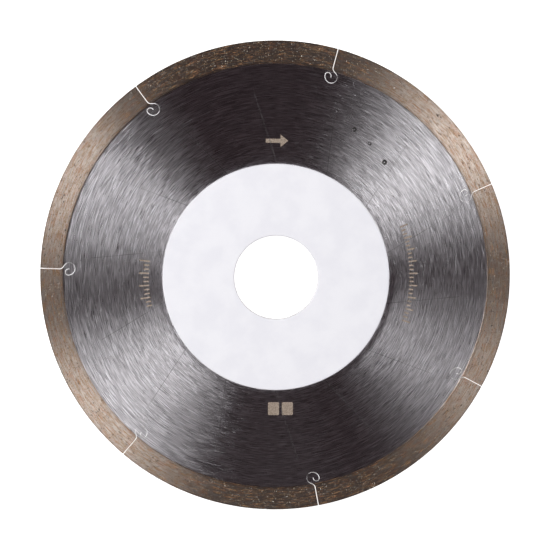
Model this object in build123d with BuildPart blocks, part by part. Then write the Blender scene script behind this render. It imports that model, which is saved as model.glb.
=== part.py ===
from build123d import *
import math
import os

os.makedirs("parts", exist_ok=True)

# Continuous-rim diamond blade, 125 mm, lying flat.
# Origin: centre of the bore, half way through the steel core.
# +Z: blade axis, out of the labelled front face.

# ---------------------------------------------------------------- dimensions (mm)
blade_r = 125.0 / 2          # outside of the diamond rim
bore_r = 22.23 / 2           # standard arbor hole of a 125 mm blade

core_t = 1.0                 # steel core thickness
core_edge_r = 58.0           # edge of the core, buried in the rim

rim_t = 1.4                  # diamond rim thickness, 0.2 mm proud each side
rim_inner_r = 56.45          # where the rim's cheeks end on the core
rim_seat_gap = 0.02          # radial gap between the core's edge and its seat
rim_edge_break = 0.12        # worn outer edge of the rim
rim_root_break = 0.10        # small slope at the root of the cheeks

plate_r = 30.15              # hub reinforcing plates
plate_t = 0.8
plate_edge_break = 0.10
bore_edge_break = 0.12

label_r = 30.05              # paper label on the front plate
label_hole_r = 11.2
label_t = 0.12

weld_count = 6               # resistance spot welds that hold each plate
weld_circle_r = 21.0
weld_r = 2.0
weld_t = 0.30                # fused lens, half in the plate and half in the core
weld_gap = 0.01
weld_mark_r = 1.7            # electrode mark on the outside of a plate
weld_mark_depth = 0.06

slot_count = 7               # laser-cut expansion slots
slot_first_angle = 23.38     # degrees from +X
slot_w = 0.22                # kerf through the rim and the bend
slot_w_curl = 0.17           # kerf round the curl
slot_w_taper = 0.11          # on the way into and out of the narrow part
slot_w_narrow = 0.06         # kerf down the clockwise side of the curl
slot_start_r = 57.515        # where the straight cut starts to bend

line_count = 14              # fine scribed tension lines on both faces
line_first_angle = 19.62     # outer end of the first line
line_outer_r = 49.2
line_inner_r = 29.6
line_sweep = 7.7             # inner end lags the outer end by this angle
line_w = 0.12
line_depth = 0.05

mark_depth = 0.03            # etched marks on the front face

front = core_t / 2           # front face of the core
hub_front = front + plate_t  # outer face of the front plate
step = 360.0 / slot_count


# ---------------------------------------------------------------- slot centreline
# Local frame: X is tangential, towards clockwise; Y is the radius.
# The cut comes straight in, bends clockwise at the root of the rim and winds
# inwards in a spiral of tangent arcs. Each run: (turn in degrees, radius or
# length, kerf). A turn of 0 is a straight run.
slot_runs = [
    (0.0, 5.985, slot_w),            # in through the rim, from outside it
    (56.4, 1.194, slot_w),           # bends clockwise
    (0.0, 0.672, slot_w),
    (-20.0, 1.521, slot_w_curl),     # into the curl
    (-10.0, 1.521, slot_w_taper),
    (-75.0, 1.521, slot_w_narrow),   # down its clockwise side
    (-10.0, 1.521, slot_w_taper),
    (-31.4, 1.521, slot_w_curl),     # under it
    (-90.0, 1.804, slot_w_curl),
    (-90.0, 0.741, slot_w_curl),     # over the top and into the middle
    (-90.0, 0.888, slot_w_curl),
    (0.0, 0.126, slot_w_curl),
]


def slot_sides():
    """Both sides of the kerf, as lists of (start, middle, end) points."""
    x, y, h = 0.0, slot_start_r + slot_runs[0][1], -90.0
    left, right = [], []

    def at(px, py, heading, off):
        a = math.radians(heading)
        return (px - off * math.sin(a), py + off * math.cos(a))

    for turn, size, w in slot_runs:
        if turn == 0.0:
            a = math.radians(h)
            nx, ny = x + size * math.cos(a), y + size * math.sin(a)
            for side, off in ((left, w / 2), (right, -w / 2)):
                side.append((at(x, y, h, off), None, at(nx, ny, h, off)))
            x, y = nx, ny
            continue
        s = 1 if turn > 0 else -1
        cx, cy = at(x, y, h, s * size)

        def on(heading):
            return at(cx, cy, heading, -s * size)

        for side, off in ((left, w / 2), (right, -w / 2)):
            pts = [at(*on(h + turn * k), h + turn * k, off) for k in (0, 0.5, 1)]
            side.append(tuple(pts))
        x, y = on(h + turn)
        h += turn
    tip = (x + (slot_runs[-1][2] / 2) * math.cos(math.radians(h)),
           y + (slot_runs[-1][2] / 2) * math.sin(math.radians(h)))
    return left, right, tip


left_side, right_side, slot_tip = slot_sides()


def apart(a, b):
    return math.hypot(a[0] - b[0], a[1] - b[1]) > 1e-5


# One kerf as a flat face, with a round end in the middle of the curl.
with BuildSketch() as slot_face:
    with BuildLine():
        for side in (left_side, right_side):
            last = None
            for a, m, b in side:
                if last and apart(last, a):
                    Line(last, a)
                if m:
                    ThreePointArc(a, m, b)
                else:
                    Line(a, b)
                last = b
        ThreePointArc(left_side[-1][2], slot_tip, right_side[-1][2])
        Line(left_side[0][0], right_side[0][0])
    make_face()

# All seven kerfs as one cutting tool.
with BuildPart() as slot_tool:
    for k in range(slot_count):
        turned = Plane.XY.rotated((0, 0, slot_first_angle + k * step - 90.0))
        with BuildSketch(turned.offset(-2.0)):
            add(slot_face.sketch)
        extrude(amount=4.0)


# ---------------------------------------------------------------- diamond rim
# Hot-pressed ring that grips the core's edge with two cheeks. The slots part
# it into seven arcs.
half_rim = rim_t / 2
with BuildPart() as rim_ring:
    with BuildSketch(Plane.XZ):
        with BuildLine():
            Polyline(
                (rim_inner_r, core_t / 2),
                (rim_inner_r + rim_root_break, half_rim),
                (blade_r - rim_edge_break, half_rim),
                (blade_r, half_rim - rim_edge_break),
                (blade_r, -half_rim + rim_edge_break),
                (blade_r - rim_edge_break, -half_rim),
                (rim_inner_r + rim_root_break, -half_rim),
                (rim_inner_r, -core_t / 2),
                (core_edge_r + rim_seat_gap, -core_t / 2),
                (core_edge_r + rim_seat_gap, core_t / 2),
                close=True,
            )
        make_face()
    revolve(axis=Axis.Z)
    add(slot_tool.part, mode=Mode.SUBTRACT)


def angle_from_first_slot(solid):
    c = solid.center()
    return (math.degrees(math.atan2(c.Y, c.X)) - slot_first_angle) % 360.0


for number, arc in enumerate(sorted(rim_ring.solids(), key=angle_from_first_slot), 1):
    with BuildPart() as rim_segment:
        add(arc)
    rim_segment.part.label = f"rim_segment_{number}"
    export_step(rim_segment.part, f"parts/rim_segment_{number}.step")


# ---------------------------------------------------------------- steel core
with BuildPart() as steel_core:
    with BuildSketch(Plane.XY.offset(-core_t / 2)):
        Circle(core_edge_r)
        Circle(bore_r, mode=Mode.SUBTRACT)
    extrude(amount=core_t)
    add(slot_tool.part, mode=Mode.SUBTRACT)

    # half of each weld lens lies in the core
    for z, direction in ((core_t / 2, -1), (-core_t / 2, 1)):
        with BuildSketch(Plane.XY.offset(z)):
            with PolarLocations(weld_circle_r, weld_count):
                Circle(weld_r + weld_gap)
        extrude(amount=direction * weld_t / 2, mode=Mode.SUBTRACT)

    # scribed tension lines, the same on both faces
    for z, direction in ((core_t / 2, -1), (-core_t / 2, 1)):
        with BuildSketch(Plane.XY.offset(z)):
            for k in range(line_count):
                a1 = math.radians(line_first_angle + k * 360.0 / line_count)
                a0 = a1 - math.radians(line_sweep)
                p0 = Vector(line_inner_r * math.cos(a0), line_inner_r * math.sin(a0))
                p1 = Vector(line_outer_r * math.cos(a1), line_outer_r * math.sin(a1))
                run = p1 - p0
                with Locations(Location((p0 + p1) * 0.5,
                                        (0, 0, math.degrees(math.atan2(run.Y, run.X))))):
                    Rectangle(run.length, line_w)
        extrude(amount=direction * line_depth, mode=Mode.SUBTRACT)

    # rotation arrow, pointing clockwise as seen from the front
    with BuildSketch(Plane.XY.offset(front)):
        with BuildLine():
            Polyline((-2.76, 35.65), (1.14, 35.65), (1.14, 34.50), (3.24, 36.20),
                     (1.14, 37.90), (1.14, 36.75), (-2.76, 36.75), close=True)
        make_face()
    extrude(amount=-mark_depth, mode=Mode.SUBTRACT)

    # plain pair of etched blocks opposite the arrow
    with BuildSketch(Plane.XY.offset(front)):
        with Locations((-0.69, -35.20), (3.01, -35.20)):
            RectangleRounded(3.0, 3.5, 0.35)
    extrude(amount=-mark_depth, mode=Mode.SUBTRACT)

    # two rows of plain etched ticks along arcs
    with BuildSketch(Plane.XY.offset(front)):
        for first, last, r, pitch, tall, short in (
            (172.7, 192.9, 35.13, 1.80, 2.7, 1.5),
            (-18.8, 22.0, 36.67, 1.70, 2.2, 1.2),
        ):
            for k in range(int((last - first) / pitch) + 1):
                h = tall if k % 3 == 0 else short
                a = first + k * pitch
                at = r - (tall - h) / 2
                with Locations(Location((at * math.cos(math.radians(a)),
                                         at * math.sin(math.radians(a)), 0), (0, 0, a))):
                    Rectangle(h, 0.42)
    extrude(amount=-mark_depth, mode=Mode.SUBTRACT)

    # three hardness-test dents: (x, y, radius, depth)
    for x, y, a, d in ((20.71, 39.21, 0.62, 0.16), (24.79, 35.49, 0.50, 0.07),
                       (28.78, 30.52, 0.70, 0.24)):
        ball = (a * a + d * d) / (2 * d)
        with Locations((x, y, front - d + ball)):
            Sphere(ball, mode=Mode.SUBTRACT)
steel_core.part.label = "steel_core"
export_step(steel_core.part, "parts/steel_core.step")


# ---------------------------------------------------------------- hub plates
# The front plate; the back one is its mirror image.
with BuildPart() as hub_plate_front:
    with BuildSketch(Plane.XY.offset(front)):
        Circle(plate_r)
        Circle(bore_r, mode=Mode.SUBTRACT)
    extrude(amount=plate_t)
    outside = hub_plate_front.faces().sort_by(Axis.Z)[-1]
    outer_edge, bore_edge = outside.edges().sort_by(SortBy.LENGTH)[-1], outside.edges().sort_by(SortBy.LENGTH)[0]
    chamfer(outer_edge, length=plate_edge_break)
    chamfer(bore_edge, length=bore_edge_break)
    # the other half of each weld lens lies in the plate
    with BuildSketch(Plane.XY.offset(front)):
        with PolarLocations(weld_circle_r, weld_count):
            Circle(weld_r + weld_gap)
    extrude(amount=weld_t / 2, mode=Mode.SUBTRACT)
    # shallow electrode marks
    mark_ball = (weld_mark_r**2 + weld_mark_depth**2) / (2 * weld_mark_depth)
    with Locations(Plane.XY.offset(hub_front - weld_mark_depth + mark_ball)):
        with PolarLocations(weld_circle_r, weld_count):
            Sphere(mark_ball, mode=Mode.SUBTRACT)
hub_plate_front.part.label = "hub_plate_front"
export_step(hub_plate_front.part, "parts/hub_plate_front.step")

with BuildPart() as hub_plate_back:
    add(mirror(hub_plate_front.part, about=Plane.XY, mode=Mode.PRIVATE))
hub_plate_back.part.label = "hub_plate_back"
export_step(hub_plate_back.part, "parts/hub_plate_back.step")


# ---------------------------------------------------------------- spot welds
with BuildPart() as hub_spot_welds:
    for z in (core_t / 2, -core_t / 2):
        with BuildSketch(Plane.XY.offset(z - weld_t / 2)):
            with PolarLocations(weld_circle_r, weld_count):
                Circle(weld_r)
        extrude(amount=weld_t)
hub_spot_welds.part.label = "hub_spot_welds"
export_step(hub_spot_welds.part, "parts/hub_spot_welds.step")


# ---------------------------------------------------------------- label
with BuildPart() as label_front:
    with BuildSketch(Plane.XY.offset(hub_front)):
        Circle(label_r)
        Circle(label_hole_r, mode=Mode.SUBTRACT)
    extrude(amount=label_t)
label_front.part.label = "label_front"
export_step(label_front.part, "parts/label_front.step")
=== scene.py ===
import math

import bmesh
import bpy
import numpy as np
from mathutils import Matrix, Vector


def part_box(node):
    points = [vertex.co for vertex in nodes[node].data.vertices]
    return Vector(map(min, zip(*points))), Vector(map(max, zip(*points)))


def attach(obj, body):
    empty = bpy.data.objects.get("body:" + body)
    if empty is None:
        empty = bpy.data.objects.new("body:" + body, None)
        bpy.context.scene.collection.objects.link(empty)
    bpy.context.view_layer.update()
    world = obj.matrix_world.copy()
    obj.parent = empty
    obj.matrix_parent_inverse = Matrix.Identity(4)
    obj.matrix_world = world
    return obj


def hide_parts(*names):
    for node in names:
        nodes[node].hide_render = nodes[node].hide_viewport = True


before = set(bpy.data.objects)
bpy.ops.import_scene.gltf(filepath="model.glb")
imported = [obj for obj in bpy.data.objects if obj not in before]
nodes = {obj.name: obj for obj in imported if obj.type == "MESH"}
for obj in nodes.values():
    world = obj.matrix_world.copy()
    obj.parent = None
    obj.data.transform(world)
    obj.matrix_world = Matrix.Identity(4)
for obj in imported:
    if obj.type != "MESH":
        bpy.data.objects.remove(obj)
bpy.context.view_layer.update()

MM = 0.001

# ------------------------------------------------------------------ sizes read from the frame
core_lo, core_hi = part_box("steel_core")
rim_boxes = [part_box(f"rim_segment_{k}") for k in range(1, 8)]
plate_lo, plate_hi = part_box("hub_plate_front")
back_lo, back_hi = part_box("hub_plate_back")
label_lo, label_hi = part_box("label_front")

CORE_TOP = core_hi.z / MM
RIM_TOP = rim_boxes[0][1].z / MM
BLADE_R = max(max(abs(c) for c in (b[0].x, b[0].y, b[1].x, b[1].y)) for b in rim_boxes) / MM
PLATE_TOP = plate_hi.z / MM
LABEL_TOP = label_hi.z / MM
LABEL_R = label_hi.x / MM
LABEL_HOLE = 11.2
FLOOR_Z = back_lo.z

# The kerf's shape through the rim, as in the solids (mm, degrees).
SLOTS, SLOT0, KERF = 7, 23.38, 0.22
BEND_AT, BEND_R, BEND_TURN, BEND_RUN = 57.515, 1.194, 56.4, 0.672
RIM_IN, RIM_SEAT, EDGE = 56.45, 58.02, 0.12


# ------------------------------------------------------------------ seeded noise for meshes
def _hash(ix, iy, iz, seed):
    h = (ix.astype(np.int64) * 374761393 + iy.astype(np.int64) * 668265263
         + iz.astype(np.int64) * 2147483647 + seed * 974634777) & 0xFFFFFFFF
    h = ((h ^ (h >> 13)) * 1274126177) & 0xFFFFFFFF
    h = (h ^ (h >> 16)) & 0xFFFFFFFF
    h = (h * 2246822519) & 0xFFFFFFFF
    return ((h ^ (h >> 15)) & 0xFFFFFF) / float(0xFFFFFF)


def vnoise(x, y, z, seed=0):
    fx, fy, fz = np.floor(x), np.floor(y), np.floor(z)
    tx, ty, tz = x - fx, y - fy, z - fz
    tx, ty, tz = (t * t * (3 - 2 * t) for t in (tx, ty, tz))
    out = 0
    for dx in (0, 1):
        for dy in (0, 1):
            for dz in (0, 1):
                w = (tx if dx else 1 - tx) * (ty if dy else 1 - ty) * (tz if dz else 1 - tz)
                out = out + w * _hash(fx + dx, fy + dy, fz + dz, seed)
    return out


def smooth(a, b, v):
    t = np.clip((v - a) / (b - a), 0, 1)
    return t * t * (3 - 2 * t)


# ------------------------------------------------------------------ node helpers
class Nodes:
    def __init__(self, name):
        self.mat = bpy.data.materials.new(name)
        self.mat.use_nodes = True
        self.nt = self.mat.node_tree
        self.nt.nodes.clear()
        self.out = self.nt.nodes.new("ShaderNodeOutputMaterial")

    def new(self, kind, **props):
        n = self.nt.nodes.new(kind)
        for k, v in props.items():
            setattr(n, k, v)
        return n

    def link(self, a, b):
        self.nt.links.new(a, b)

    def put(self, socket, v):
        if isinstance(v, bpy.types.NodeSocket):
            self.link(v, socket)
        else:
            socket.default_value = v

    def math(self, op, a, b=None, c=None, clamp=False):
        n = self.new("ShaderNodeMath", operation=op, use_clamp=clamp)
        for i, v in enumerate((a, b, c)):
            if v is not None:
                self.put(n.inputs[i], v)
        return n.outputs[0]

    def vec(self, op, a, b=None, scale=None):
        n = self.new("ShaderNodeVectorMath", operation=op)
        self.put(n.inputs[0], a)
        if b is not None:
            self.put(n.inputs[1], b)
        if scale is not None:
            self.put(n.inputs["Scale"], scale)
        return n.outputs["Value"] if op in ("LENGTH", "DOT_PRODUCT", "DISTANCE") else n.outputs["Vector"]

    def ramp(self, v, lo, hi, out_lo=0.0, out_hi=1.0, smooth_step=True):
        n = self.new("ShaderNodeMapRange", clamp=True)
        n.interpolation_type = "SMOOTHSTEP" if smooth_step else "LINEAR"
        self.put(n.inputs["Value"], v)
        for k, s in (("From Min", lo), ("From Max", hi), ("To Min", out_lo), ("To Max", out_hi)):
            self.put(n.inputs[k], s)
        return n.outputs["Result"]

    def mix(self, f, a, b, blend="MIX"):
        n = self.new("ShaderNodeMix", data_type="RGBA", blend_type=blend, clamp_factor=True)
        self.put(n.inputs[0], f)
        self.put(n.inputs[6], a)
        self.put(n.inputs[7], b)
        return n.outputs[2]

    def noise(self, vector, scale=1.0, detail=2.0, rough=0.5, distortion=0.0):
        n = self.new("ShaderNodeTexNoise", noise_dimensions="3D")
        self.link(vector, n.inputs["Vector"])
        n.inputs["Scale"].default_value = scale
        n.inputs["Detail"].default_value = detail
        n.inputs["Roughness"].default_value = rough
        n.inputs["Distortion"].default_value = distortion
        return n.outputs["Fac"]

    def xyz(self, v):
        n = self.new("ShaderNodeSeparateXYZ")
        self.link(v, n.inputs[0])
        return n.outputs

    def combine(self, x=0.0, y=0.0, z=0.0):
        n = self.new("ShaderNodeCombineXYZ")
        for s, v in zip(n.inputs, (x, y, z)):
            self.put(s, v)
        return n.outputs[0]

    def bsdf(self, **vals):
        n = self.new("ShaderNodeBsdfPrincipled")
        for k, v in vals.items():
            self.put(n.inputs[k.replace("_", " ")], v)
        self.link(n.outputs[0], self.out.inputs["Surface"])
        return n


def rgb(r, g, b):
    return (r, g, b, 1.0)


def srgb(r, g, b):
    def f(c):
        c /= 255.0
        return c / 12.92 if c <= 0.04045 else ((c + 0.055) / 1.055) ** 2.4
    return (f(r), f(g), f(b), 1.0)


def polar(m, centre=(0.0, 0.0)):
    """Object coordinates as radius, outward and round-the-centre directions, and a
    mapping for patterns that run round the centre without a seam. The centre is in mm."""
    coord = m.new("ShaderNodeTexCoord").outputs["Object"]
    x, y, z = m.xyz(coord)
    if centre != (0.0, 0.0):
        x = m.math("SUBTRACT", x, centre[0] * MM)
        y = m.math("SUBTRACT", y, centre[1] * MM)
    flat = m.combine(x, y, 0.0)
    radius = m.vec("LENGTH", flat)
    out = m.vec("NORMALIZE", flat)
    around = m.vec("CROSS_PRODUCT", (0.0, 0.0, 1.0), out)

    def streaks(along, across, shift=0.0):
        up = m.combine(0.0, 0.0, m.math("ADD", m.math("MULTIPLY", radius, across), shift))
        zz = m.combine(0.0, 0.0, m.math("MULTIPLY", z, across * 0.37))
        return m.vec("ADD", m.vec("ADD", m.vec("SCALE", out, scale=along), up), zz)

    return coord, z, radius, out, around, streaks


# ------------------------------------------------------------------ brushed steel of the core
def brushed_steel(name, marks=False, tint=(0.655, 0.632, 0.665), wall=(0.20, 0.185, 0.17),
                  wall_metal=1.0, wall_rough=0.0, weld_marks=False):
    """Steel ground flat with a cup wheel: fine scratches round the axis, crossed by two
    weaker families whose centres lie off the axis."""
    m = Nodes(name)
    coord, z, radius, out, around, streaks = polar(m)
    cross_a = polar(m, (6.0, -3.5))[5]
    cross_b = polar(m, (-4.5, 5.5))[5]
    geo = m.new("ShaderNodeNewGeometry")
    normal = geo.outputs["Normal"]
    nz = m.xyz(normal)[2]
    face = m.ramp(m.math("ABSOLUTE", nz), 0.75, 0.97)          # 1 on the flat faces, 0 on walls

    s1 = m.noise(streaks(13.0, 8300.0), detail=1.5, rough=0.6)            # the main scratches
    s2 = m.noise(cross_a(12.5, 7800.0, 7.3), detail=1.0, rough=0.5)       # the crossing families
    s3 = m.noise(cross_b(12.0, 7400.0, 3.1), detail=1.0, rough=0.5)
    s4 = m.noise(streaks(20.0, 13000.0, 11.7), detail=0.0)                # short fine ones
    s5 = m.noise(streaks(9.0, 3000.0, 5.7), detail=2.0, rough=0.55)       # bands
    glint_streaks = m.noise(streaks(11.0, 5800.0, 21.0), detail=1.0, rough=0.5)      # painted glints: single scratches made bright in the colour
    cloud = m.noise(coord, scale=150.0, detail=2.0, rough=0.5)

    def off(s, k):
        return m.math("MULTIPLY", m.math("SUBTRACT", s, 0.5), k)

    def total(*terms):
        t = terms[0]
        for u in terms[1:]:
            t = m.math("ADD", t, u)
        return t

    lean_out = m.math("MULTIPLY", face, total(off(s2, 0.20), off(s3, 0.20), off(s4, 0.08)))
    lean_round = m.math("MULTIPLY", face, total(off(s2, 0.30), off(s3, -0.30), off(s4, 0.08)))
    bent = m.vec("ADD", normal, m.vec("ADD", m.vec("SCALE", out, scale=lean_out),
                                      m.vec("SCALE", around, scale=lean_round)))
    bent = m.vec("NORMALIZE", bent)

    grain = total(0.5, off(s1, 0.95), off(s4, 0.45), off(s5, 0.45), off(cloud, 0.15))
    light = m.ramp(grain, 0.40, 0.88, smooth_step=False)
    base = m.mix(light, rgb(*(c * 0.66 for c in tint)), rgb(*(min(1, c * 1.52) for c in tint)))
    # painted glints: single scratches turned near-white in the base colour, standing in for their highlights
    base = m.mix(m.ramp(glint_streaks, 0.51, 0.66, 0.0, 0.90), base, rgb(0.95, 0.93, 0.97))
    bore = m.math("MULTIPLY", m.math("SUBTRACT", 1.0, face), m.ramp(radius, 14.0 * MM, 16.0 * MM, 1.0, 0.0))
    base = m.mix(face, m.mix(bore, rgb(*wall), rgb(0.62, 0.60, 0.61)), base)   # bore wall: dull turned steel
    rough = m.math("ADD", m.ramp(s1, 0.3, 0.7, 0.27, 0.33), m.ramp(face, 0.0, 1.0, wall_rough, 0.0), clamp=True)
    rough = m.math("MAXIMUM", rough, m.math("MULTIPLY", bore, 0.6))
    metal = m.math("MINIMUM", m.ramp(face, 0.0, 1.0, wall_metal, 1.0),
                   m.math("SUBTRACT", 1.0, m.math("MULTIPLY", bore, 0.75)))

    if weld_marks:                                             # heat tint in the electrode marks
        sunk = m.math("SUBTRACT", PLATE_TOP * MM, m.math("ABSOLUTE", z))
        tinted = m.math("MULTIPLY", face, m.math("MULTIPLY", m.ramp(sunk, 0.001 * MM, 0.020 * MM),
                                                 m.math("LESS_THAN", sunk, 0.09 * MM)))
        base = m.mix(m.math("MULTIPLY", tinted, 0.6), base, rgb(0.24, 0.20, 0.18))
        rough = m.math("ADD", rough, m.math("MULTIPLY", tinted, 0.10), clamp=True)

    if marks:
        top = m.math("GREATER_THAN", nz, 0.995)
        deep = m.math("SUBTRACT", CORE_TOP * MM, z)
        etched = m.math("MULTIPLY", top, m.math("MULTIPLY", m.math("GREATER_THAN", deep, 0.020 * MM),
                                                m.math("LESS_THAN", deep, 0.040 * MM)))
        flatz = m.math("GREATER_THAN", m.math("ABSOLUTE", nz), 0.995)
        inset = m.math("SUBTRACT", CORE_TOP * MM, m.math("ABSOLUTE", z))
        # painted shade: the bottoms of the shallow scribed grooves are darkened towards near-black
        groove_shade = m.math("MULTIPLY", flatz, m.math("MULTIPLY", m.math("GREATER_THAN", inset, 0.040 * MM),
                                                m.math("LESS_THAN", inset, 0.060 * MM)))
        faint = m.ramp(m.noise(coord, scale=90.0, detail=1.0), 0.38, 0.62, 0.25, 0.75)
        groove_shade = m.math("MULTIPLY", groove_shade, faint)
        # painted shade: the sloping sides of the punched dents are coloured dark
        slope = m.math("MULTIPLY", m.math("LESS_THAN", nz, 0.99), m.math("GREATER_THAN", nz, 0.30))
        dent_shade = m.math("MULTIPLY", slope, m.math("GREATER_THAN", deep, 0.001 * MM))
        frost = m.noise(coord, scale=5200.0, detail=2.0, rough=0.6)
        tan = m.mix(m.ramp(frost, 0.35, 0.65), srgb(140, 126, 112), srgb(186, 170, 156))
        base = m.mix(etched, base, tan)
        base = m.mix(groove_shade, base, rgb(0.05, 0.048, 0.047))
        base = m.mix(dent_shade, base, rgb(0.085, 0.08, 0.08))
        flat_mark = m.math("ADD", etched, groove_shade, clamp=True)
        rough = m.math("ADD", rough, m.math("MULTIPLY", flat_mark, 0.4), clamp=True)
        rough = m.math("ADD", rough, m.math("MULTIPLY", dent_shade, 0.12), clamp=True)
        metal = m.math("MULTIPLY", metal, m.math("SUBTRACT", 1.0, m.math("MULTIPLY", flat_mark, 0.85)))

    m.bsdf(Base_Color=base, Metallic=metal, Roughness=rough, Anisotropic=1.0,
           Normal=bent, Tangent=out)
    return m.mat


# ------------------------------------------------------------------ sintered rim
def rim_material():
    """Bronze-bonded diamond layer: tan metal grains in a dark brown, porous ground,
    dressed round the axis so that it shines in the same sectors as the core."""
    m = Nodes("Sintered diamond rim")
    coord, z, radius, out, around, streaks = polar(m)
    normal = m.new("ShaderNodeNewGeometry").outputs["Normal"]
    pit = m.new("ShaderNodeAttribute", attribute_name="pit").outputs["Fac"]
    grain = m.noise(coord, scale=5200.0, detail=3.0, rough=0.65)
    speck = m.noise(coord, scale=2600.0, detail=2.0, rough=0.6)
    grind = m.noise(streaks(20.0, 7800.0, 2.2), detail=1.5, rough=0.6)    # dressing marks
    dash = m.noise(streaks(60.0, 5600.0, 9.1), detail=1.5, rough=0.6)      # short pores where grains tore out, painted near-black as their shade
    blot = m.noise(streaks(30.0, 1600.0), detail=2.0, rough=0.5)
    warm = m.noise(streaks(24.0, 900.0, 5.1), detail=2.0, rough=0.55)

    metal = m.math("ADD", m.math("MULTIPLY", grind, 0.60), m.math("MULTIPLY", grain, 0.40))
    ground = m.mix(m.ramp(warm, 0.42, 0.62), rgb(0.385, 0.228, 0.118), rgb(0.410, 0.212, 0.112))
    bronze = m.mix(m.ramp(blot, 0.36, 0.64), rgb(0.51, 0.435, 0.385), rgb(0.63, 0.56, 0.505))
    bronze = m.mix(m.ramp(warm, 0.55, 0.75, 0.0, 0.4), bronze, rgb(0.66, 0.46, 0.36))
    base = m.mix(m.ramp(metal, 0.38, 0.56), ground, bronze)
    base = m.mix(m.ramp(speck, 0.62, 0.74, 0.0, 0.5), base, rgb(0.80, 0.72, 0.62))
    # painted shade: the pits sunk in the mesh and the pores are coloured near-black, as their shade, and made less
    # metallic
    pore_shade = m.math("MAXIMUM", pit, m.ramp(dash, 0.63, 0.73, 0.0, 0.8))
    base = m.mix(pore_shade, base, rgb(0.035, 0.023, 0.016))
    # painted shade: darker towards the rounded outer edge and along the step at the rim's foot
    painted_edge_shade = m.ramp(radius, (BLADE_R - 0.50) * MM, (BLADE_R - 0.02) * MM, 0.0, 0.55)
    root = m.ramp(radius, (RIM_IN + 0.08) * MM, (RIM_IN + 0.9) * MM, 0.30, 0.0)
    base = m.mix(m.math("MAXIMUM", painted_edge_shade, root), base, rgb(0.060, 0.045, 0.036))
    metallic = m.math("MULTIPLY", m.ramp(metal, 0.36, 0.46, 0.12, 0.97),
                      m.math("SUBTRACT", 1.0, m.math("MULTIPLY", pore_shade, 0.8)))

    def off(s, k):
        return m.math("MULTIPLY", m.math("SUBTRACT", s, 0.5), k)

    bent = m.vec("ADD", normal, m.vec("ADD", m.vec("SCALE", out, scale=off(grind, 0.36)),
                                      m.vec("SCALE", around, scale=off(grain, 0.16))))
    bent = m.vec("NORMALIZE", bent)
    rough = m.ramp(grain, 0.3, 0.7, 0.34, 0.44)
    m.bsdf(Base_Color=base, Metallic=metallic, Roughness=rough, Anisotropic=0.95,
           Specular_IOR_Level=0.25, Normal=bent, Tangent=out)
    return m.mat


def grit_material():
    m = Nodes("Diamond grit")
    coord = m.new("ShaderNodeTexCoord").outputs["Object"]
    n1 = m.noise(coord, scale=1500.0, detail=1.0)
    base = m.mix(m.ramp(n1, 0.38, 0.62), rgb(0.33, 0.27, 0.17), rgb(0.62, 0.56, 0.42))
    rough = m.ramp(m.noise(coord, scale=9000.0, detail=2.0), 0.3, 0.7, 0.10, 0.30)
    m.bsdf(Base_Color=base, Roughness=rough, IOR=2.1, Specular_IOR_Level=0.6)
    return m.mat


def paper_material():
    m = Nodes("Label paper")
    coord, z, radius, out, around, streaks = polar(m)
    fibre = m.noise(coord, scale=2400.0, detail=4.0, rough=0.65, distortion=0.6)
    mottle = m.noise(coord, scale=160.0, detail=3.0, rough=0.5)
    base = m.mix(m.ramp(mottle, 0.35, 0.65), srgb(238, 238, 244), srgb(243, 243, 248))
    base = m.mix(m.ramp(fibre, 0.52, 0.72, 0.0, 0.12), base, srgb(226, 226, 232))
    # greyer towards the outer edge and towards the hole
    border_ramp = m.math("ADD", m.ramp(radius, (LABEL_R - 0.35) * MM, LABEL_R * MM, 0.0, 0.35),
                  m.ramp(radius, LABEL_HOLE * MM, (LABEL_HOLE + 0.3) * MM, 0.12, 0.0))
    base = m.mix(border_ramp, base, srgb(214, 213, 216))
    bump = m.new("ShaderNodeBump")
    bump.inputs["Strength"].default_value = 0.25
    bump.inputs["Distance"].default_value = 0.00001
    m.link(fibre, bump.inputs["Height"])
    rough = m.ramp(fibre, 0.3, 0.7, 0.55, 0.72)
    m.bsdf(Base_Color=base, Roughness=rough, Specular_IOR_Level=0.3, Normal=bump.outputs[0])
    return m.mat


def floor_material():
    m = Nodes("Studio table")
    coord = m.new("ShaderNodeTexCoord").outputs["Object"]
    n1 = m.noise(coord, scale=3.0, detail=2.0)
    base = m.mix(n1, rgb(0.60, 0.60, 0.60), rgb(0.63, 0.63, 0.63))
    n = m.bsdf(Base_Color=base, Roughness=0.9, Specular_IOR_Level=0.1)
    n.inputs["Emission Color"].default_value = (1, 1, 1, 1)
    n.inputs["Emission Strength"].default_value = 0.90
    return m.mat


# ------------------------------------------------------------------ meshes
def kerf_sides():
    """(radius, angle from the slot's own radius) down both sides of the kerf."""
    u, v, h = 0.0, 64.5, -90.0
    pts = [(u, v, h)]
    for k in range(1, 41):
        pts.append((0.0, 64.5 + (BEND_AT - 64.5) * k / 40, h))
    a = math.radians(h)
    cu, cv = -BEND_R * math.sin(a), BEND_AT + BEND_R * math.cos(a)
    for k in range(1, 41):
        hh = math.radians(h + BEND_TURN * k / 40)
        pts.append((cu + BEND_R * math.sin(hh), cv - BEND_R * math.cos(hh), math.degrees(hh)))
    u, v, h = pts[-1]
    for k in range(1, 21):
        s = (BEND_RUN + 0.4) * k / 20
        pts.append((u + s * math.cos(math.radians(h)), v + s * math.sin(math.radians(h)), h))
    sides = []
    for off in (KERF / 2, -KERF / 2):
        rr, aa = [], []
        for u, v, h in pts:
            a = math.radians(h)
            x, y = u - off * math.sin(a), v + off * math.cos(a)
            rr.append(math.hypot(x, y))
            aa.append(math.degrees(math.atan2(x, y)))
        sides.append((np.array(rr[::-1]), np.array(aa[::-1])))
    return sides      # [clockwise side, anticlockwise side], radius rising


CW_SIDE, CCW_SIDE = kerf_sides()


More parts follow.
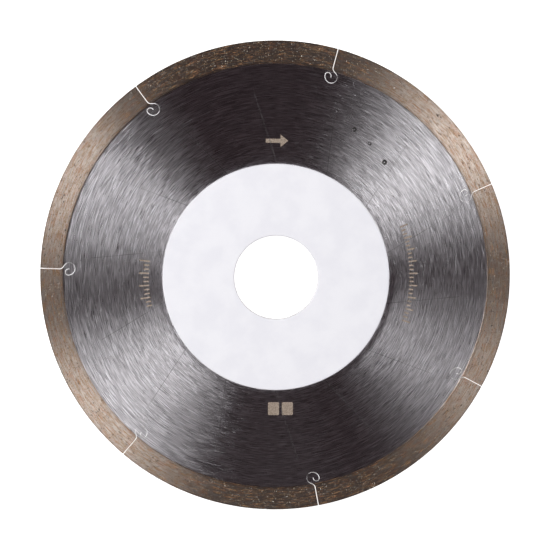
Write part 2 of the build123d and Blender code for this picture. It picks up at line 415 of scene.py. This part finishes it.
def rim_section():
    """Ring of (radius, height, how much the surface may be rough) round the section, and
    the flat polygons that close its ends. Every polygon joins points of about the same
    radius, so the ends follow the kerf's bend."""
    step = 0.15
    cheek = np.append(np.arange(RIM_IN + 0.10, RIM_SEAT - 0.05, step), RIM_SEAT)
    top = np.append(np.arange(RIM_SEAT + step, BLADE_R - EDGE - 0.05, step), BLADE_R - EDGE)
    top = np.concatenate([cheek, top])

    def border_ramp(r):
        return min(1.0, 0.35 + (r - RIM_IN) * 1.2)

    pts = [(RIM_IN, CORE_TOP, 0.0), (RIM_IN + 0.03, CORE_TOP + 0.10, 0.2)]
    pts += [(r, RIM_TOP, border_ramp(r)) for r in top]
    for k in (1, 2, 3):
        a = math.radians(90 - 90 * k / 4)
        pts.append((BLADE_R - EDGE + EDGE * math.cos(a), RIM_TOP - EDGE + EDGE * math.sin(a), 1.0))
    for zz in np.linspace(RIM_TOP - EDGE, -RIM_TOP + EDGE, 9):
        pts.append((BLADE_R, zz, 1.0))
    for k in (1, 2, 3):
        a = math.radians(-90 * k / 4)
        pts.append((BLADE_R - EDGE + EDGE * math.cos(a), -RIM_TOP + EDGE + EDGE * math.sin(a), 1.0))
    pts += [(r, -RIM_TOP, border_ramp(r)) for r in top[::-1]]
    pts += [(RIM_IN + 0.03, -CORE_TOP - 0.10, 0.2), (RIM_IN, -CORE_TOP, 0.0)]
    outside = len(pts)
    seat = [RIM_IN + 0.03] + list(cheek)
    pts += [(r, -CORE_TOP, 0.0) for r in seat]
    pts += [(r, CORE_TOP, 0.0) for r in seat[::-1]]
    last = len(pts) - 1
    n = len(seat)                                  # outside points 1..n lie over the seat's
    low = outside + np.arange(n)                   # lower cheek of the seat, radius rising
    high = last - np.arange(n)                     # upper cheek of the seat, radius rising
    caps = [[0, 1, high[0]], [outside - 1, low[0], outside - 2]]
    for i in range(n - 1):
        caps.append([1 + i, 2 + i, high[i + 1], high[i]])
        caps.append([outside - 2 - i, low[i], low[i + 1], outside - 3 - i])
    caps.append([n, n + 1, outside - 2 - n, outside - 1 - n, low[-1], high[-1]])
    m = 2 + len(top) - 1                           # last point of the upper face
    for i in range(n + 1, m):
        caps.append([i, i + 1, outside - 2 - i, outside - 1 - i])
    caps.append(list(range(m, outside - m)))
    return np.array(pts), [[int(q) for q in c] for c in caps]


SECTION, SECTION_CAPS = rim_section()


def section_normals():
    nxt, prv = np.roll(SECTION, -1, 0), np.roll(SECTION, 1, 0)
    t = nxt[:, :2] - prv[:, :2]
    n = np.stack([-t[:, 1], t[:, 0]], 1)
    return n / np.maximum(np.linalg.norm(n, axis=1, keepdims=True), 1e-9)


def rim_roughness(theta, r, z):
    """Height (mm) of the sintered surface and how much of a pit each point is in."""
    cx, cy = np.cos(theta), np.sin(theta)
    t = 62.0        # distance round the rim at this radius
    x, y = cx * r, cy * r
    side = np.sign(z) * 40.0
    fine = vnoise(x / 0.26, y / 0.26, z / 0.26 + side, 3) - 0.5
    med = vnoise(x / 0.55, y / 0.55, z / 0.55 + side, 5) - 0.5
    arc = theta * t
    grind = vnoise(arc / 1.6, r / 0.22, z / 0.3 + side, 11) - 0.5
    crack = vnoise(arc / 0.85, r / 0.24, z / 0.4 + side, 17)
    crack2 = vnoise(arc / 0.42, r / 0.19, z / 0.4 + side, 23)
    where = vnoise(arc / 6.0, r / 2.2, side * 0.1, 29)
    pit = smooth(0.70, 0.86, 0.6 * crack + 0.4 * crack2 + 0.10 * (where - 0.5))
    h = 0.016 * fine + 0.014 * med + 0.010 * grind - 0.055 * pit
    return h, pit


def build_rim(k):
    a0 = SLOT0 + (k - 1) * 360.0 / SLOTS
    a1 = a0 + 360.0 / SLOTS
    columns = 361
    nsec = len(SECTION)
    start = a0 - np.interp(SECTION[:, 0], *CCW_SIDE)
    end = a1 - np.interp(SECTION[:, 0], *CW_SIDE)
    s = np.linspace(0, 1, columns)
    theta = np.radians(start[None, :] + (end - start)[None, :] * s[:, None])
    r = np.broadcast_to(SECTION[None, :, 0], theta.shape)
    z = np.broadcast_to(SECTION[None, :, 1], theta.shape)
    amount = np.broadcast_to(SECTION[None, :, 2], theta.shape)
    near = np.minimum(s, 1 - s)[:, None] * (end - start)[None, :]      # degrees from a kerf
    amount = amount * np.clip(near / 0.25, 0.25, 1.0)
    h, pit = rim_roughness(theta, r, z)
    nrm = section_normals()
    rr = r + h * amount * nrm[None, :, 0]
    zz = z + h * amount * nrm[None, :, 1]
    rr = np.minimum(rr, BLADE_R + 0.02)
    co = np.stack([rr * np.cos(theta), rr * np.sin(theta), zz], -1).reshape(-1, 3) * MM
    i, j = np.meshgrid(np.arange(columns - 1), np.arange(nsec), indexing="ij")
    j2 = (j + 1) % nsec
    quads = np.stack([i * nsec + j, i * nsec + j2, (i + 1) * nsec + j2, (i + 1) * nsec + j], -1).reshape(-1, 4)
    faces = quads.tolist()
    last = (columns - 1) * nsec
    faces += SECTION_CAPS + [[last + q for q in reversed(c)] for c in SECTION_CAPS]
    me = bpy.data.meshes.new(f"rim_arc_{k}")
    me.from_pydata(co.tolist(), [], faces)
    att = me.attributes.new("pit", "FLOAT", "POINT")
    att.data.foreach_set("value", (pit * amount).astype(np.float32).ravel())
    bm = bmesh.new()
    bm.from_mesh(me)
    bmesh.ops.recalc_face_normals(bm, faces=bm.faces)
    bm.to_mesh(me)
    bm.free()
    me.polygons.foreach_set("use_smooth", np.ones(len(me.polygons), bool))
    me.update()
    me.set_sharp_from_angle(angle=math.radians(50))
    ob = bpy.data.objects.new(f"rim_arc_{k}", me)
    bpy.context.scene.collection.objects.link(ob)
    return ob


def crystal():
    """A cubo-octahedral grain: an octahedron with its corners cut off."""
    bm = bmesh.new()
    v = []
    for perm in ((0, 1, 2), (0, 2, 1), (1, 0, 2), (1, 2, 0), (2, 0, 1), (2, 1, 0)):
        for sa in (1, -1):
            for sb in (1, -1):
                p = [0.0, 0.0, 0.0]
                p[perm[1]] = 1.0 * sa
                p[perm[2]] = 2.0 * sb
                v.append(tuple(p))
    for p in sorted(set(v)):
        bm.verts.new(p)
    hull = bmesh.ops.convex_hull(bm, input=bm.verts)
    bmesh.ops.dissolve_limit(bm, angle_limit=0.02, verts=bm.verts, edges=bm.edges)
    bm.verts.index_update()
    co = np.array([x.co[:] for x in bm.verts]) / math.sqrt(5)
    faces = [[x.index for x in f.verts] for f in bm.faces]
    bm.free()
    return co, faces


GRAIN, GRAIN_FACES = crystal()


def build_grit(k, rng):
    a0 = SLOT0 + (k - 1) * 360.0 / SLOTS + 0.5
    a1 = a0 + 360.0 / SLOTS - 1.0
    spots = []
    for side in (1, -1):
        for _ in range(330):
            spots.append((rng.uniform(a0, a1 - 1.3), rng.uniform(RIM_IN + 0.45, BLADE_R - 0.25), side, 0.0))
    for _ in range(150):
        spots.append((rng.uniform(a0, a1), BLADE_R, 0, rng.uniform(-RIM_TOP + 0.2, RIM_TOP - 0.2)))
    co, faces = [], []
    for a, r, side, zz in spots:
        size = rng.uniform(0.07, 0.15)
        q = rng.normal(size=4)
        q /= np.linalg.norm(q)
        w, x, y, z = q
        rot = np.array([[1 - 2 * (y * y + z * z), 2 * (x * y - z * w), 2 * (x * z + y * w)],
                        [2 * (x * y + z * w), 1 - 2 * (x * x + z * z), 2 * (y * z - x * w)],
                        [2 * (x * z - y * w), 2 * (y * z + x * w), 1 - 2 * (x * x + y * y)]])
        out = rng.uniform(0.018, 0.055)
        t = math.radians(a)
        if side:
            c = np.array([r * math.cos(t), r * math.sin(t), side * (RIM_TOP + out - size)])
        else:
            c = np.array([(r + out * 0.6 - size) * math.cos(t), (r + out * 0.6 - size) * math.sin(t), zz])
        base = len(co) * len(GRAIN)
        co.append(c + (GRAIN * size) @ rot.T)
        faces += [[base + i for i in f] for f in GRAIN_FACES]
    me = bpy.data.meshes.new(f"rim_grit_{k}")
    me.from_pydata((np.concatenate(co) * MM).tolist(), [], faces)
    me.update()
    ob = bpy.data.objects.new(f"rim_grit_{k}", me)
    bpy.context.scene.collection.objects.link(ob)
    return ob


def build_label():
    """Die-cut paper disc: softened upper edges, very slight unevenness."""
    r0, r1 = LABEL_HOLE, LABEL_R
    z0, z1 = PLATE_TOP, LABEL_TOP
    e = 0.04
    prof = [(r0, z0), (r0, z1 - e), (r0 + e * 0.3, z1 - e * 0.3), (r0 + e, z1)]
    prof += [(r, z1) for r in np.linspace(r0 + 0.35, r1 - 0.35, 30)]
    prof += [(r1 - e, z1), (r1 - e * 0.3, z1 - e * 0.3), (r1, z1 - e), (r1, z0)]
    prof = np.array(prof)
    n = 360
    th = np.linspace(0, 2 * math.pi, n, endpoint=False)
    T, R = np.meshgrid(th, prof[:, 0], indexing="ij")
    Z = np.broadcast_to(prof[None, :, 1], T.shape).copy()
    x, y = R * np.cos(T), R * np.sin(T)
    wave = (vnoise(x / 7.0, y / 7.0, x * 0, 41) - 0.5) * 0.012 + (vnoise(x / 1.8, y / 1.8, x * 0, 43) - 0.5) * 0.004
    up = Z > (z1 - e * 1.01)
    Z = np.where(up, Z - 0.010 + wave, Z)
    Z = np.minimum(Z, z1)
    co = np.stack([x, y, Z], -1).reshape(-1, 3) * MM
    m = len(prof)
    i, j = np.meshgrid(np.arange(n), np.arange(m), indexing="ij")
    i2, j2 = (i + 1) % n, (j + 1) % m
    quads = np.stack([i * m + j, i2 * m + j, i2 * m + j2, i * m + j2], -1).reshape(-1, 4)
    me = bpy.data.meshes.new("paper_label")
    me.from_pydata(co.tolist(), [], quads.tolist())
    bm = bmesh.new()
    bm.from_mesh(me)
    bmesh.ops.recalc_face_normals(bm, faces=bm.faces)
    bm.to_mesh(me)
    bm.free()
    me.polygons.foreach_set("use_smooth", np.ones(len(me.polygons), bool))
    me.set_sharp_from_angle(angle=math.radians(55))
    ob = bpy.data.objects.new("paper_label", me)
    bpy.context.scene.collection.objects.link(ob)
    return ob


# ------------------------------------------------------------------ camera
def aim(ob, place, target, up=(0, 1, 0)):
    z = (Vector(place) - Vector(target)).normalized()
    x = Vector(up).cross(z).normalized()
    y = z.cross(x)
    ob.matrix_world = Matrix.Translation(place) @ Matrix((x, y, z)).transposed().to_4x4()


cam_data = bpy.data.cameras.new("Camera")
cam = bpy.data.objects.new("Camera", cam_data)
bpy.context.scene.collection.objects.link(cam)
bpy.context.scene.camera = cam
cam_data.sensor_width = 36.0
cam_data.lens = 1316.4 / 550.0 * 36.0
cam_data.shift_x, cam_data.shift_y = -0.5 / 550.0, 0.5 / 550.0
cam_data.clip_start, cam_data.clip_end = 0.01, 20.0
aim(cam, (-0.009119, 0.02144, 0.350), (-0.000145, 0.000469, 0.0))

# ------------------------------------------------------------------ materials on the CAD nodes
core_mat = brushed_steel("Circular brushed steel core", marks=True)
plate_mat = brushed_steel("Circular brushed steel plate", tint=(0.65, 0.64, 0.66),
                          wall=(0.74, 0.73, 0.76), wall_metal=0.2, wall_rough=0.35, weld_marks=True)
weld_mat = brushed_steel("Fused steel", tint=(0.40, 0.385, 0.38))


def dress(ob, mat):
    if ob.material_slots:
        for slot in ob.material_slots:
            slot.material = mat
    else:
        ob.data.materials.append(mat)


dress(nodes["steel_core"], core_mat)
dress(nodes["hub_plate_front"], plate_mat)
dress(nodes["hub_plate_back"], plate_mat)
dress(nodes["hub_spot_welds"], weld_mat)

# ------------------------------------------------------------------ new pieces
rim_mat, grit_mat, label_mat = rim_material(), grit_material(), paper_material()
rng = np.random.default_rng(7)
for k in range(1, SLOTS + 1):
    arc = build_rim(k)
    arc.data.materials.append(rim_mat)
    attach(arc, "root")
    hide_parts(f"rim_segment_{k}")
    grit = build_grit(k, rng)
    grit.data.materials.append(grit_mat)
    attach(grit, "root")

label = build_label()
label.data.materials.append(label_mat)
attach(label, "root")
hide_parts("label_front")

# ------------------------------------------------------------------ studio
bm = bmesh.new()
bmesh.ops.create_circle(bm, cap_ends=True, radius=3.0, segments=96)
floor_me = bpy.data.meshes.new("table")
bm.to_mesh(floor_me)
bm.free()
floor = bpy.data.objects.new("table", floor_me)
bpy.context.scene.collection.objects.link(floor)
floor.location.z = FLOOR_Z - 0.00002
floor_me.materials.append(floor_material())


def softbox(name, azimuth, elevation, distance, width, height, power, spread=180.0):
    data = bpy.data.lights.new(name, "AREA")
    data.shape = "RECTANGLE"
    data.size, data.size_y = width, height
    data.energy = power
    data.spread = math.radians(spread)
    ob = bpy.data.objects.new(name, data)
    bpy.context.scene.collection.objects.link(ob)
    a, e = math.radians(azimuth), math.radians(elevation)
    place = Vector((math.cos(a) * math.cos(e), math.sin(a) * math.cos(e), math.sin(e))) * distance
    aim(ob, place, (0, 0, 0), up=(0, 0, 1))
    return ob


# azimuth, elevation, watts: panels of one wide key on the right, a lower side box on the left
# and weak fills in front
for az, el, watts in ((15, 34, 0.58), (30, 34, 1.75), (45, 34, 0.85),
                      (135, 28, 0.30), (150, 28, 2.20), (165, 28, 1.70), (180, 28, 0.52),
                      (210, 38, 0.74), (225, 38, 0.84), (240, 38, 0.50), (270, 38, 0.04), (285, 38, 0.03), (315, 38, 0.08), (330, 38, 0.20)):
    softbox(f"Softbox {az}", az, el, 0.75, 0.19, 0.26, watts)

world = bpy.data.worlds.new("Studio")
bpy.context.scene.world = world
world.use_nodes = True
wn = world.node_tree
wn.nodes.clear()
wo = wn.nodes.new("ShaderNodeOutputWorld")
bg = wn.nodes.new("ShaderNodeBackground")
bg.inputs["Color"].default_value = (1.0, 0.66, 0.74, 1)
bg.inputs["Strength"].default_value = 0.032
bg2 = wn.nodes.new("ShaderNodeBackground")
bg2.inputs["Color"].default_value = (0.95, 0.95, 0.95, 1)
bg2.inputs["Strength"].default_value = 1.0
lp = wn.nodes.new("ShaderNodeLightPath")
mx = wn.nodes.new("ShaderNodeMixShader")
wn.links.new(lp.outputs["Is Camera Ray"], mx.inputs[0])
wn.links.new(bg.outputs[0], mx.inputs[1])
wn.links.new(bg2.outputs[0], mx.inputs[2])
wn.links.new(mx.outputs[0], wo.inputs["Surface"])

view = bpy.context.scene.view_settings
view.view_transform = "Standard"
view.look = "None"
view.exposure = 0.0
view.gamma = 1.0
